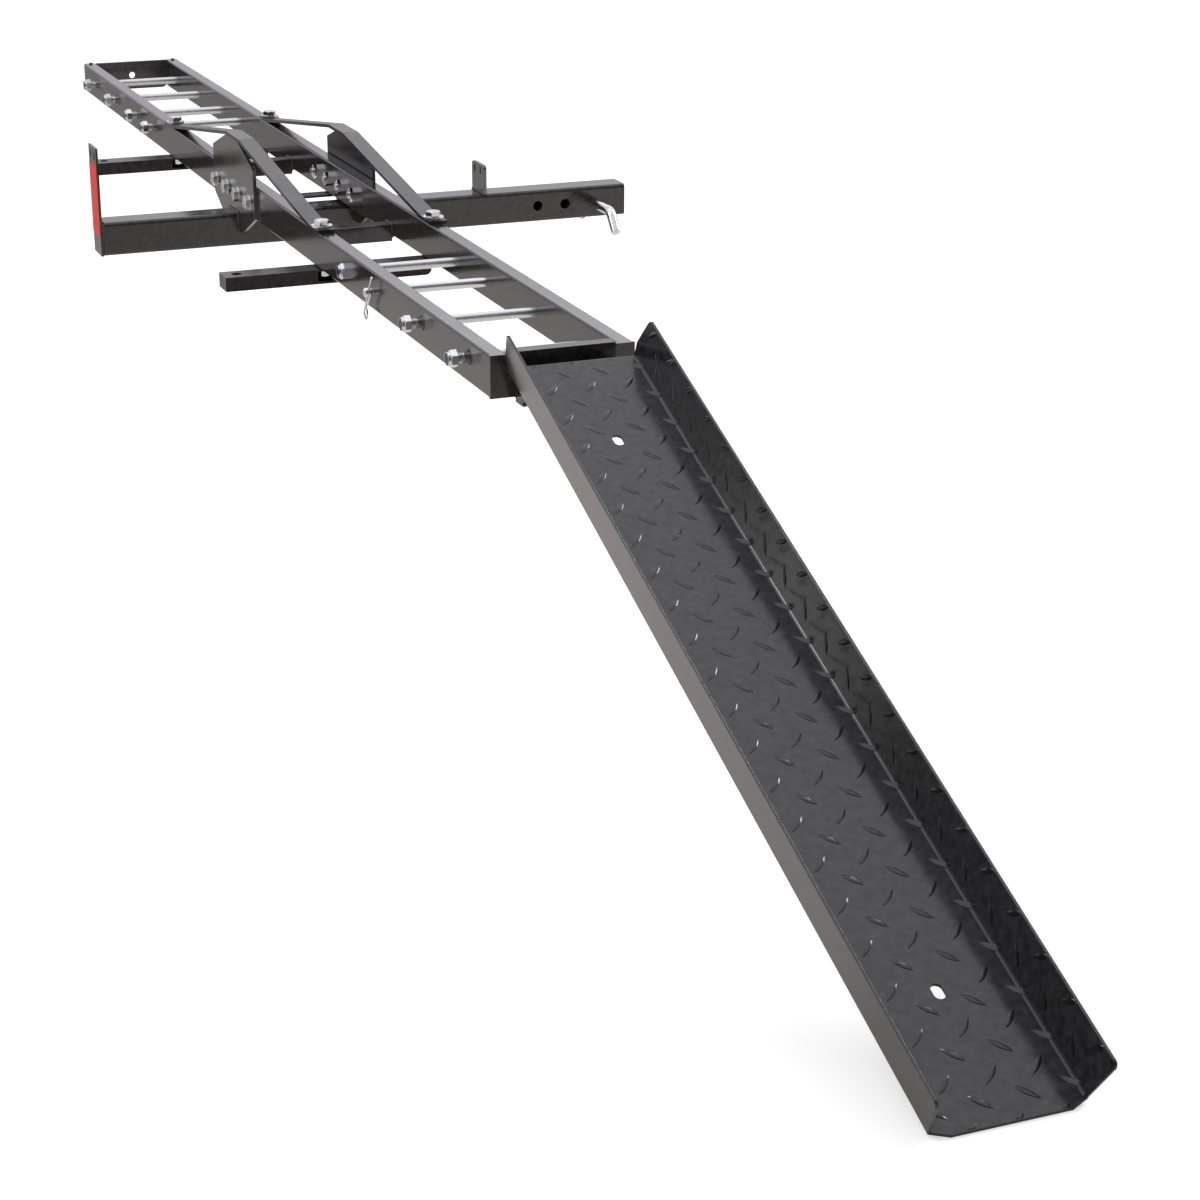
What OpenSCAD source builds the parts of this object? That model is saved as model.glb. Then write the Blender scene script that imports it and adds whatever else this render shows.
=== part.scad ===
// Hitch motorcycle carrier: wheel track on a square hitch bar, with a loading ramp hooked on one end.
// Millimetres. Origin: centre of the hitch bar's receiver end. +X towards the vehicle, +Z up, ramp towards -Y.

/* [Hitch bar] */

// Outer width of the square hitch bar
bar_w = 50.8; // [50.8:0.1:50.8]
// Length of the hitch bar
bar_len = 856; // [820:2:900]
// Wall of the hitch bar
bar_wall = 5; // [4:0.5:6.5]
// Corner radius of the hitch bar
bar_r = 6; // [4:0.5:7]
// Hitch pin hole diameter
pin_hole_d = 16.1; // [16.1:0.1:16.1]
// First pin hole, from the receiver end
pin_hole_first = 57; // [50:1:65]
// Pitch of the pin holes
pin_hole_pitch = 47; // [40:1:50]
// Pin holes in the bar
pin_hole_count = 3; // [2:1:3]
// Distance from the receiver end to the middle of the track
track_x = 548; // [530:2:570]

/* [Track] */

// Width over both rails
track_w = 182; // [170:1:200]
// Length of one half of the track
rail_len = 1157; // [1120:1:1200]
// Width of a rail tube
rail_w = 22; // [20:0.5:24]
// Height of a rail tube
rail_h = 52; // [48:0.5:56]
// Wall of a rail tube
rail_wall = 2.5; // [2:0.25:3]
// Corner radius of a rail tube
rail_r = 3; // [2:0.5:4]
// Height of the rails above the hitch bar
rail_lift = 5; // [4:0.5:8]
// Gap between the two halves of a rail
rail_seam = 0.2; // [0.1:0.1:0.3]
// Thickness of the flat steel in plates and straps
plate_t = 5; // [4:0.5:6]
// Corner radius of the tail end plate
tail_plate_r = 12; // [6:1:16]
// Hole in the tail end plate
tail_hole_d = 12; // [8:1:16]

/* [Side plates] */

// Half of a side plate's top edge
side_top = 38; // [30:1:44]
// Height of the side plate's top above the rails
side_rise = 54; // [40:1:70]
// Half of a side plate's width
side_half = 121; // [116:1:130]
// Height of the shoulders above the rails
side_shoulder = 26; // [16:1:34]
// Depth of a side plate below the hitch bar's top
side_drop = 27.4; // [20:0.2:40]
// Half of a side plate's foot
side_foot = 45; // [38:1:60]
// Pitch of the bolts in a side plate
side_bolt_pitch = 66; // [60:1:70]

/* [Straps] */

// Width of a strap
strap_w = 25; // [22:1:28]
// Distance of a strap bolt from the middle of the track, along the rail
strap_reach = 440; // [400:2:470]
// Length of a strap's end tab on each side of its bolt
strap_tab = 22; // [18:1:28]

/* [Arms and braces] */

// Width of a tie-down arm
arm_w = 38; // [32:1:40]
// Height of a tie-down arm
arm_h = 20; // [19:0.5:24]
// Wall of an arm or a brace
arm_wall = 2.5; // [2:0.25:3]
// How far an arm stands out from the outer rail
arm_out = 136; // [110:1:160]
// Radius of an arm's lower inner corner
arm_r = 9; // [6:1:12]
// Tie-down hole in an arm
arm_hole_d = 14; // [10:0.5:15]
// Distance of the tie-down hole from the arm's end
arm_hole_in = 20; // [14:1:24]
// Depth of a cross brace
brace_d = 27; // [22:1:30]
// Height of a cross brace
brace_h = 25; // [20:1:30]
// Distance of a cross brace from the hitch bar's axis
brace_y = 272; // [240:1:300]
// How far a cross brace hangs below the rails
brace_drop = 8; // [6:0.5:10]
// Width of the flat tie bar under the rails
tie_w = 30; // [24:1:36]
// Thickness of the flat tie bar
tie_t = 3; // [2.5:0.5:4]
// Distance of the tie bar from the hitch bar's axis
tie_y = 51; // [48:1:60]

/* [End plate and light bracket] */

// Thickness of the end plate
end_t = 3.5; // [3:0.5:5]
// Height of the end plate's top above the hitch bar's axis
end_top = 139; // [125:1:160]
// Width of the reflector
reflector_w = 50; // [40:1:50]
// Height of the reflector
reflector_h = 108; // [80:1:108]
// Thickness of the reflector
reflector_t = 0.6; // [0.5:0.1:2]
// Foot of the reflector above the hitch bar's axis
reflector_z = 5; // [0:1:8]
// Width of the light bracket
light_w = 56; // [50:1:60]
// Height of the light bracket above the bar
light_h = 46.6; // [36:0.2:60]
// Distance of the light bracket from the receiver end
light_x = 239; // [200:1:260]
// Pitch of the holes in the end plate and in the light bracket
slot_pitch = 27; // [24:1:30]
// Width of those holes
slot_w = 7; // [6:0.5:8]
// Length of those holes
slot_l = 13; // [10:0.5:15]

/* [Fasteners] */

// Diameter of a wheel rung and of the lock pin
rung_d = 12.7; // [12:0.1:13]
// Hex size across flats
hex_af = 19; // [18:0.5:20]
// Height of a bolt head
head_h = 7.5; // [7:0.5:9]
// Height of a plain nut
nut_h = 10; // [9:0.5:11]
// Height of a lock nut with its collar
lock_nut_h = 12; // [11:0.5:13]
// Diameter of the plate and strap bolts
bolt_d = 12; // [12:0.5:12]
// Thickness of a washer
washer_t = 2.5; // [2:0.25:3]
// Diameter of a plate bolt's washer
washer_d = 24; // [22:0.5:26]
// Diameter of a strap bolt's washer
strap_washer_d = 30; // [26:0.5:34]
// How far the lock nuts stand off the outer rail
nut_standoff = 8.5; // [7:0.5:12]
// Distance of the outermost rung from the rails' end
rung_in = 92; // [80:1:110]
// Distance of the lock pin from the rails' end
lock_in = 446; // [430:1:456]
// Diameter of the hitch pin
pin_d = 15.9; // [15.8:0.05:15.95]
// Straight length of the hitch pin outside the bar, on its handle side
pin_out = 70; // [50:1:90]
// Bend radius of the hitch pin's handle
pin_bend = 20; // [14:1:24]
// Length of the handle's straight leg
pin_leg = 30; // [24:1:50]
// Wire of the clips
clip_wire = 2.8; // [2.4:0.2:3.2]

/* [Ramp] */

// Slope of the ramp
ramp_angle = 21.6; // [16:0.1:24]
// Length of the ramp's floor
ramp_len = 1129; // [1080:1:1180]
// Width of the ramp's floor
ramp_w = 160; // [140:1:164]
// Thickness of the ramp's sheet
ramp_t = 3; // [2.5:0.25:3.5]
// Height of the ramp's flanges
flange_h = 55; // [45:1:60]
// How far each flange leans outwards
flange_lean = 10; // [6:0.5:14]
// Gap between the track's end plate and the ramp's floor
ramp_gap = 29; // [27:0.5:34]
// Height of the floor's upper end above the hitch bar's axis
ramp_top = 72; // [70:0.5:74]
// Distance of the ramp's slots from its ends
ramp_slot_in = 151; // [120:1:200]
// Width of the ramp's slots
ramp_slot_w = 12; // [10:0.5:14]
// Length of the ramp's slots
ramp_slot_l = 18; // [15:0.5:22]
// Hook sheet thickness
hook_t = 3; // [2.5:0.25:3.5]
// Width of the hook
hook_w = 130; // [110:1:134]

/* [View] */

// Sub-part to build

/* [Hidden] */

$fn = 48;
eps = 0.01;
fit_gap = 0.1;
seat_gap = 0.05;
turn_gap = 0.3;
rail_z = bar_w / 2 + rail_lift;
rail_top = rail_z + rail_h;
rail_mid = rail_z + rail_h / 2;
rail_in = track_w / 2 - rail_w;
rail_out = track_w / 2;
rail_c = track_w / 2 - rail_w / 2;
bolt_hole = bolt_d + 2 * fit_gap;
rung_hole = rung_d + 2 * fit_gap;
lock_y = rail_len - lock_in;
rung_inner_in = 573;
rung_outer_in = 270;
rung_y = [rail_len - rung_inner_in, lock_y, rail_len - rung_outer_in, rail_len - rung_in];
side_z = rail_top + side_rise;
strap_c = rail_out + plate_t - 1 - strap_w / 2;
strap_bolt_x = 82;
end_face = rail_len + plate_t;
plug_gap = 0.1;
plug_depth = 14;
plug_cap = 2;
nub_d = 6;
nub_h = 2.5;
nub_in = 8;
window_w = 26;
window_h = 14;
rivet_h = 14;
rivet_d = 16;
rivet_grip = 20;
insert_h = 3;
insert_d = 15.6;
collar_d = 17.4;
collar_h = 4;
lock_clip_reach = 22;
hitch_clip_reach = 9;
clip_r = 7;
clip_bend = 3;
clip_flare = 6;
clip_tip = 2;
lock_clip_drop = 34;
lock_clip_turn = 35;
hitch_clip_drop = 33;
wire_sides = 16;
pin_handle_angle = 50;
leg_d = pin_d - 0.05;
leg_lap = 0.5;
leg_tip = 2;
pin_far = 22;
pin_x = pin_hole_first;
lock_shank = 14;
lock_cross = 8;
fold_lean = atan(flange_lean / flange_h);
flange_foot = 1;
flange_rake = 9;
flange_foot_r = 6;
foot_chamfer = 19;
foot_cut = 8;
hook_back = 7;
hook_lip = 13;
hook_leg_z = 60;
gusset_t = 4;
gusset_in = 6;
prop_z = 24.5;
prop_t = 4;
prop_w = 120;
prop_out = 24;

// helpers

// places its children at the middle of the track
module on_track() {
  translate([-track_x, 0, 0]) children();
}

// turns a YZ outline into a plate that is h thick along X
module along_x(h) {
  rotate([90, 0, 90]) linear_extrude(h) children();
}

// turns an XZ outline into a bar that runs h towards -Y
module along_y(h) {
  rotate([90, 0, 0]) linear_extrude(h) children();
}

module round_rect(w, h, r) {
  square([w - 2 * r, h], center = true);
  square([w, h - 2 * r], center = true);
  for (x = [-1, 1], y = [-1, 1])
    translate([x * (w / 2 - r), y * (h / 2 - r)]) circle(r);
}

module tube_section(w, h, r, wall) {
  difference() {
    round_rect(w, h, r);
    round_rect(w - 2 * wall, h - 2 * wall, max(r - wall, 0.5));
  }
}

module oblong(w, l) {
  square([w, l - w], center = true);
  for (y = [-1, 1]) translate([0, y * (l - w) / 2]) circle(w / 2);
}

// hexagonal prism with its corners turned off on the far side
module hex_body(af, h) {
  r = af / 2 / cos(30);
  intersection() {
    cylinder(r = r, h = h, $fn = 6);
    union() {
      cylinder(r = r + 1, h = h - 1.6);
      translate([0, 0, h - 1.6]) cylinder(r1 = r + 0.3, r2 = af / 2 * 0.95, h = 1.6);
    }
  }
}

// head from z = 0 up, shank down
module hex_bolt(d, len) {
  hex_body(hex_af, head_h);
  translate([0, 0, -len + 1]) cylinder(d = d, h = len - 1 + eps);
  translate([0, 0, -len]) cylinder(d1 = d - 2, d2 = d, h = 1);
}

// from z = 0 up
module hex_nut(d, h) {
  difference() {
    hex_body(hex_af, h);
    translate([0, 0, -1]) cylinder(d = d + 2 * seat_gap, h = h + 2);
  }
}

module washer(d, od) {
  difference() {
    cylinder(d = od, h = washer_t);
    translate([0, 0, -1]) cylinder(d = d + 2 * seat_gap, h = washer_t + 2);
  }
}

// Hitch bar and what is welded to it

module hitch_bar() {
  color("#2f2d2e")
  difference() {
    translate([-bar_len, 0, 0]) along_x(bar_len) tube_section(bar_w, bar_w, bar_r, bar_wall);
    for (i = [0 : pin_hole_count - 1])
      translate([-pin_hole_first - i * pin_hole_pitch, 0, 0]) rotate([90, 0, 0])
        cylinder(d = pin_hole_d, h = 2 * bar_w, center = true);
  }
}

module end_plate() {
  color("#343233")
  translate([-bar_len - end_t, 0, 0]) along_x(end_t) difference() {
    translate([-bar_w / 2, -bar_w / 2]) square([bar_w, end_top + bar_w / 2]);
    for (y = [-1, 1]) translate([y * slot_pitch / 2, end_top - slot_l]) oblong(slot_w, slot_l);
  }
}

module reflector() {
  color("#e2453f")
  translate([-bar_len - end_t - reflector_t, -reflector_w / 2, reflector_z])
    cube([reflector_t, reflector_w, reflector_h]);
}

module light_bracket() {
  color("#3a3839")
  translate([-light_x - plate_t, 0, bar_w / 2]) along_x(plate_t) difference() {
    union() {
      translate([-light_w / 2, 0]) square([light_w, light_h - 7]);
      translate([-light_w / 2 + 7, 0]) square([light_w - 14, light_h]);
      for (y = [-1, 1]) translate([y * (light_w / 2 - 7), light_h - 7]) circle(7);
    }
    for (y = [-1, 1]) translate([y * slot_pitch / 2, light_h - 11]) oblong(slot_w + 1, slot_l);
  }
}

// Side plates straddle the hitch bar

module side_outline() {
  difference() {
    polygon([[-side_top, side_z], [side_top, side_z], [side_half, rail_top + side_shoulder],
      [side_half, rail_z + 3], [side_foot, bar_w / 2 - side_drop], [-side_foot, bar_w / 2 - side_drop],
      [-side_half, rail_z + 3], [-side_half, rail_top + side_shoulder]]);
    translate([-bar_w / 2, -bar_w]) square([bar_w, bar_w * 1.5]);
    for (i = [-1.5 : 1 : 1.5]) translate([i * side_bolt_pitch, rail_mid]) circle(d = bolt_hole);
  }
}

module side_plate_outer() {
  color("#353334")
  on_track() translate([-rail_out - plate_t, 0, 0]) along_x(plate_t) side_outline();
}

module side_plate_inner() {
  color("#353334")
  on_track() translate([rail_out, 0, 0]) along_x(plate_t) side_outline();
}

module tie_bar() {
  color("#2b292a")
  on_track() translate([-rail_out, tie_y - tie_w / 2, rail_z - tie_t])
    cube([track_w, tie_w, tie_t]);
}

module cross_brace(y) {
  on_track() translate([-rail_in, y, rail_z - brace_drop + brace_h / 2])
    along_x(2 * rail_in) tube_section(brace_d, brace_h, 2, arm_wall);
}

module cross_brace_ramp() {
  color("#2b292a") cross_brace(-brace_y);
}

module cross_brace_tail() {
  color("#2b292a") cross_brace(brace_y);
}

// Rails: side is -1 for the outer one and 1 for the one by the vehicle, dir is -1 for the ramp half

module cross_hole(y, z, d) {
  translate([0, y, z]) rotate([0, 90, 0]) cylinder(d = d, h = rail_w + 2, center = true);
}

module rail(side, dir) {
  start = dir < 0 ? -rail_seam / 2 : rail_len;
  on_track() translate([side * rail_c, 0, 0]) difference() {
    translate([0, start, rail_mid]) along_y(rail_len - rail_seam / 2)
      tube_section(rail_w, rail_h, rail_r, rail_wall);
    for (i = [0.5, 1.5]) cross_hole(dir * i * side_bolt_pitch, rail_mid, bolt_hole);
    for (y = rung_y) cross_hole(dir * y, rail_mid, rung_hole);
    translate([side * (strap_bolt_x - rail_c), dir * strap_reach, side < 0 ? rail_z - 1 : rail_mid])
      cylinder(d = bolt_hole, h = rail_h + 2);
    if (dir > 0) translate([0, rail_len - nub_in, rail_mid])
      cylinder(d = nub_d + 2 * fit_gap, h = rail_h);
  }
}

module rail_outer_ramp() {
  color("#3d3b3c") rail(-1, -1);
}

module rail_inner_ramp() {
  color("#3d3b3c") rail(1, -1);
}

module rail_outer_tail() {
  color("#3d3b3c") rail(-1, 1);
}

module rail_inner_tail() {
  color("#3d3b3c") rail(1, 1);
}

module ramp_end_plate() {
  color("#353334")
  on_track() translate([-rail_out, -end_face, rail_z]) cube([track_w, plate_t, rail_h]);
}

module tail_end_plate() {
  color("#353334")
  on_track() translate([0, rail_len, 0]) along_y(plate_t) difference() {
    union() {
      translate([-rail_in, rail_z + tail_plate_r]) square([2 * rail_in, rail_h - tail_plate_r]);
      translate([-rail_in + tail_plate_r, rail_z]) square([2 * (rail_in - tail_plate_r), rail_h]);
      for (x = [-1, 1]) translate([x * (rail_in - tail_plate_r), rail_z + tail_plate_r])
        circle(tail_plate_r);
    }
    translate([0, rail_mid]) circle(d = tail_hole_d);
  }
}

module rail_plugs() {
  color("#1b1b1c")
  on_track() for (side = [-1, 1]) translate([side * rail_c, rail_len, rail_mid]) {
    translate([0, plug_cap, 0]) along_y(plug_cap) round_rect(rail_w, rail_h, rail_r);
    translate([0, eps, 0]) along_y(plug_depth)
      round_rect(rail_w - 2 * rail_wall - 2 * plug_gap, rail_h - 2 * rail_wall - 2 * plug_gap, 1);
    translate([0, -nub_in, 0]) cylinder(d = nub_d, h = rail_h / 2 + nub_h);
  }
}

// Bolts through side plate and rail, heads outside

module at_plate_bolts() {
  on_track() for (side = [-1, 1], i = [-1.5 : 1 : 1.5])
    translate([side * rail_out, i * side_bolt_pitch, rail_mid]) rotate([0, side * 90, 0]) children();
}

module plate_bolts() {
  color("#c9cccf")
  at_plate_bolts() translate([0, 0, plate_t + washer_t])
    hex_bolt(bolt_d, washer_t + plate_t + rail_w + nut_h + 2);
}

module plate_washers() {
  color("#c9cccf") at_plate_bolts() translate([0, 0, plate_t]) washer(bolt_d, washer_d);
}

module plate_nuts() {
  color("#c9cccf")
  at_plate_bolts() translate([0, 0, -rail_w]) rotate([180, 0, 0]) hex_nut(bolt_d, nut_h);
}

// Straps brace the side plates back to the rails

module strap(side) {
  foot = strap_reach - strap_tab;
  tip = strap_reach + strap_tab;
  on_track() translate([side * strap_c - strap_w / 2, 0, 0]) difference() {
    along_x(strap_w) polygon([[-tip, rail_top], [-foot, rail_top], [-side_top, side_z],
      [side_top, side_z], [foot, rail_top], [tip, rail_top], [tip, rail_top + plate_t],
      [foot, rail_top + plate_t], [side_top, side_z + plate_t], [-side_top, side_z + plate_t],
      [-foot, rail_top + plate_t], [-tip, rail_top + plate_t]]);
    for (y = [-1, 1])
      translate([strap_w / 2 + side * (strap_bolt_x - strap_c), y * strap_reach, rail_top - 1])
        cylinder(d = bolt_hole, h = plate_t + 2);
  }
}

module strap_outer() {
  color("#3d3b3c") strap(-1);
}

module strap_inner() {
  color("#3d3b3c") strap(1);
}

module at_strap_bolts(sides) {
  on_track() for (side = sides, y = [-1, 1])
    translate([side * strap_bolt_x, y * strap_reach, rail_top]) children();
}

module strap_bolts() {
  color("#c9cccf") {
    at_strap_bolts([-1]) translate([0, 0, plate_t + washer_t])
      hex_bolt(bolt_d, washer_t + plate_t + rail_h + arm_wall + nut_h + 2);
    at_strap_bolts([1]) translate([0, 0, plate_t + washer_t])
      hex_bolt(bolt_d, washer_t + plate_t + rivet_grip);
  }
}

module strap_washers() {
  color("#c9cccf")
  at_strap_bolts([-1, 1]) translate([0, 0, plate_t]) washer(bolt_d, strap_washer_d);
}

module strap_nuts() {
  color("#c9cccf")
  at_strap_bolts([-1]) translate([0, 0, -rail_h - arm_wall]) rotate([180, 0, 0])
    hex_nut(bolt_d, nut_h);
}

module rivet_nuts() {
  room = rail_w - 2 * rail_wall - 10 * fit_gap;
  color("#b9bcbf")
  at_strap_bolts([1]) translate([0, 0, -rail_wall - rivet_h]) difference() {
    intersection() {
      cylinder(d = rivet_d, h = rivet_h);
      translate([rail_c - strap_bolt_x - room / 2, -rivet_d, -1])
        cube([room, 2 * rivet_d, rivet_h + 2]);
    }
    translate([0, 0, -1]) cylinder(d = bolt_d + 2 * seat_gap, h = rivet_h + 2);
  }
}

// Tie-down arms run under both rails

module arm_side(w) {
  x0 = -rail_out - arm_out + w;
  x1 = rail_in + 3;
  translate([x0, -arm_h + w]) square([x1 - x0 - arm_r, arm_h - 2 * w]);
  translate([x0, -arm_r]) square([x1 - x0 - w, arm_r - w]);
  translate([x1 - arm_r, -arm_h + arm_r]) circle(arm_r - w);
}

module arm(y) {
  on_track() translate([0, y, rail_z]) difference() {
    translate([0, arm_w / 2, 0]) along_y(arm_w) {
      arm_side(0);
      translate([rail_in + 3 - arm_r, -arm_h + arm_r]) square([arm_r, arm_h - arm_r]);
    }
    translate([-1, arm_w / 2 - arm_wall, 0]) along_y(arm_w - 2 * arm_wall) {
      arm_side(arm_wall);
      translate([rail_in + 3 - arm_r, -arm_h + arm_r])
        square([arm_r - arm_wall, arm_h - arm_r - arm_wall]);
    }
    translate([-rail_out - arm_out + arm_hole_in, 0, -arm_h - 1])
      cylinder(d = arm_hole_d, h = arm_h + 2);
    translate([-strap_bolt_x, 0, -arm_h / 2]) cylinder(d = bolt_hole, h = arm_h);
    translate([-strap_bolt_x - window_w / 2, -arm_w / 2 - 1, -arm_wall - window_h])
      cube([window_w, arm_wall + 2, window_h]);
  }
}

module arm_ramp() {
  color("#2b292a") arm(-strap_reach);
}

module arm_tail() {
  color("#2b292a") arm(strap_reach);
}

// Rungs: bolts through both rails, lock nuts standing off the outer one

rungs = [for (dir = [-1, 1], y = rung_y) if (dir > 0 || y != lock_y) dir * y];

function standoff(y) = y == -rung_y[0] ? 0 : nut_standoff;

module at_rungs() {
  on_track() for (y = rungs) translate([0, y, rail_mid]) rotate([0, 90, 0]) {
    $y = y;
    children();
  }
}

module rung_bolts() {
  color("#c9cccf")
  at_rungs() translate([0, 0, rail_out]) hex_bolt(rung_d, track_w + standoff($y) + lock_nut_h - 0.5);
}

module lock_nut() {
  difference() {
    union() {
      hex_body(hex_af, lock_nut_h - collar_h + 1);
      cylinder(d = collar_d, h = lock_nut_h);
    }
    translate([0, 0, -1]) cylinder(d = rung_d + 2 * seat_gap, h = lock_nut_h + 2);
    translate([0, 0, lock_nut_h - insert_h]) cylinder(d = insert_d, h = insert_h + 1);
  }
}

module rung_nuts() {
  color("#c9cccf")
  at_rungs() translate([0, 0, -rail_out - standoff($y)]) rotate([180, 0, 0]) lock_nut();
}

module nut_inserts() {
  color("#2c3566")
  at_rungs() translate([0, 0, -rail_out - standoff($y)]) rotate([180, 0, 0])
    translate([0, 0, lock_nut_h - insert_h]) difference() {
      cylinder(d = insert_d - 2 * seat_gap, h = insert_h - 0.3);
      translate([0, 0, -1]) cylinder(d = rung_d + 2 * seat_gap, h = insert_h + 2);
    }
}

// Pins with their clips

module lock_pin() {
  color("#c9cccf")
  on_track() translate([0, -lock_y, rail_mid]) rotate([0, 90, 0]) difference() {
    translate([0, 0, rail_out + turn_gap]) hex_bolt(rung_d, track_w + turn_gap + lock_shank);
    translate([0, 0, -rail_out - lock_cross]) rotate([0, 90, lock_clip_turn])
      cylinder(d = clip_wire + 2 * fit_gap, h = 2 * rung_d, center = true);
  }
}

function arc(c, r, a, b, n) =
  [for (i = [1 : n]) c + r * [cos(a + (b - a) * i / n), sin(a + (b - a) * i / n)]];

function heading(p, i) =
  let (v = p[min(i + 1, len(p) - 1)] - p[max(i - 1, 0)]) v / norm(v);

// round wire along a flat path, as one closed skin
module wire(path, d) {
  n = wire_sides;
  last = len(path) - 1;
  skin = [for (i = [0 : last], j = [0 : n - 1])
    let (h = heading(path, i), a = 360 * j / n)
    [path[i][0] - h[1] * cos(a) * d / 2, path[i][1] + h[0] * cos(a) * d / 2, sin(a) * d / 2]];
  sides = [for (i = [0 : last - 1], j = [0 : n - 1], k = [0, 1])
    let (a = i * n + j, b = i * n + (j + 1) % n)
    k == 0 ? [a, b, a + n] : [b, b + n, a + n]];
  ends = [[for (j = [n - 1 : -1 : 0]) j], [for (j = [0 : n - 1]) last * n + j]];
  polyhedron(skin, concat(sides, ends));
}

// Spring clip on a pin of radius rp at the origin: a straight leg through the pin, a ring at its foot,
// and an outer leg that bows around the pin and stays open above it, so that it pulls off downwards
module spring_clip(rp, reach, drop) {
  bow = rp + clip_wire / 2 + turn_gap;
  rise = drop - clip_r - clip_bend;
  h = atan2(clip_r, rise) + acos((bow + clip_bend) / norm([clip_r, rise]));
  flare = [bow + clip_flare, rp * 0.4];
  tip = flare + clip_flare * [cos(135), sin(135)];
  wire(concat([[0, rp + reach], [0, -drop]], arc([clip_r, -drop], clip_r, 180, 450, 15),
    arc([clip_r, -rise], clip_bend, 270, h + 90, 6), [bow * [sin(h), -cos(h)]],
    arc([0, 0], bow, h - 90, 0, 3), [[bow, rp * 0.4]], arc(flare, clip_flare, 180, 135, 4),
    [tip + [clip_tip, clip_tip]]), clip_wire);
}

module lock_clip() {
  color("#d5d8da")
  on_track() translate([-rail_out - lock_cross, -lock_y, rail_mid])
    rotate([lock_clip_turn, 0, 0]) rotate([90, 0, 90]) mirror([1, 0, 0])
      spring_clip(rung_d / 2, lock_clip_reach, lock_clip_drop);
}

module hitch_pin() {
  a = pin_handle_angle;
  color("#c9cccf")
  translate([-pin_x, 0, 0]) difference() {
    union() {
      rotate([90, 0, 0]) translate([0, 0, -bar_w / 2 - pin_far + 2])
        cylinder(d = pin_d, h = bar_w + pin_far + pin_out - 2);
      translate([0, bar_w / 2 + pin_far - 2 - eps, 0]) rotate([-90, 0, 0])
        cylinder(d1 = pin_d, d2 = pin_d - 4, h = 2 + eps);
      translate([0, -bar_w / 2 - pin_out, -pin_bend]) rotate([0, 90, 0]) rotate([0, 0, 180])
        rotate_extrude(angle = a) translate([pin_bend, 0]) circle(d = pin_d);
      translate([0, -bar_w / 2 - pin_out, -pin_bend]) rotate([a, 0, 0])
        translate([0, 0, pin_bend]) rotate([90, 0, 0]) {
          translate([0, 0, -leg_lap]) cylinder(d = leg_d, h = pin_leg - leg_tip + leg_lap);
          translate([0, 0, pin_leg - leg_tip]) cylinder(d1 = leg_d, d2 = leg_d - 3, h = leg_tip);
        }
    }
    translate([0, bar_w / 2 + pin_far / 2, 0])
      cylinder(d = clip_wire + 2 * fit_gap, h = 2 * pin_d, center = true);
  }
}

module hitch_clip() {
  color("#d5d8da")
  translate([-pin_x, bar_w / 2 + pin_far / 2, 0]) rotate([90, 0, 0])
    spring_clip(pin_d / 2, hitch_clip_reach, hitch_clip_drop);
}

// Ramp, in a frame that lies on its slope: +Y up the slope, +Z off the floor

module on_ramp() {
  on_track() translate([0, -end_face - ramp_gap, ramp_top]) rotate([ramp_angle, 0, 0]) children();
}

// height of the floor's underside where it passes y
function under(y) = ramp_top + (y + end_face + ramp_gap) * tan(ramp_angle);
function under_y(z) = (z - ramp_top) / tan(ramp_angle) - end_face - ramp_gap;

module tray_section() {
  side_t = ramp_t / cos(fold_lean);
  half = ramp_w / 2;
  inner = half + ramp_t * tan(fold_lean) - side_t;
  top = half + flange_lean;
  polygon([[-half, 0], [half, 0], [top, flange_h], [top - side_t, flange_h], [inner, ramp_t],
    [-inner, ramp_t], [-top + side_t, flange_h], [-top, flange_h]]);
}

// side view of the tray: leaning flange ends above, long floor below
module tray_profile() {
  r = flange_foot_r;
  foot = -ramp_len - flange_foot;
  difference() {
    polygon([[0, -1], [0, ramp_t], [5, 18], [-3, flange_h - 6], [-5, flange_h - 2],
      [-9, flange_h + 1], [foot, flange_h + 1], [foot, flange_h - r], [foot + flange_rake, ramp_t],
      [-ramp_len, ramp_t], [-ramp_len, -1]]);
    difference() {
      translate([foot - 1, flange_h - r]) square([r + 1, r + 2]);
      translate([foot + r, flange_h - r]) circle(r);
    }
  }
}

// what is cut off a foot corner of the floor, run past both its ends
module foot_corner() {
  a = [ramp_w / 2 - foot_chamfer, -ramp_len];
  b = [ramp_w / 2, -ramp_len + foot_cut];
  d = (b - a) / 5;
  polygon([a - d, [b[0] + d[0], a[1] - d[1]], b + d]);
}

module ramp_tray() {
  reach = ramp_w + 4 * flange_lean;
  color("#302f31")
  on_ramp() difference() {
    intersection() {
      translate([0, 6, 0]) along_y(ramp_len + 12) tray_section();
      translate([-reach / 2, 0, 0]) along_x(reach) tray_profile();
    }
    for (y = [ramp_slot_in, ramp_len - ramp_slot_in])
      translate([0, -y, -1]) linear_extrude(ramp_t + 2) oblong(ramp_slot_w, ramp_slot_l);
    for (x = [0, 1]) mirror([x, 0, 0])
      translate([0, 0, -1]) linear_extrude(ramp_t + 1 + seat_gap) foot_corner();
  }
}

module ramp_hook() {
  f = -end_face - turn_gap;
  b = -rail_len + hook_back;
  z = rail_top + seat_gap;
  color("#2b292a")
  on_track() translate([-hook_w / 2, 0, 0]) along_x(hook_w)
    polygon([[under_y(hook_leg_z), hook_leg_z], [f, hook_leg_z], [f, z], [b, z], [b, z - hook_lip],
      [b + hook_t, z - hook_lip], [b + hook_t, z + hook_t], [f - hook_t, z + hook_t],
      [f - hook_t, hook_leg_z + hook_t], [under_y(hook_leg_z + hook_t), hook_leg_z + hook_t]]);
}

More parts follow.
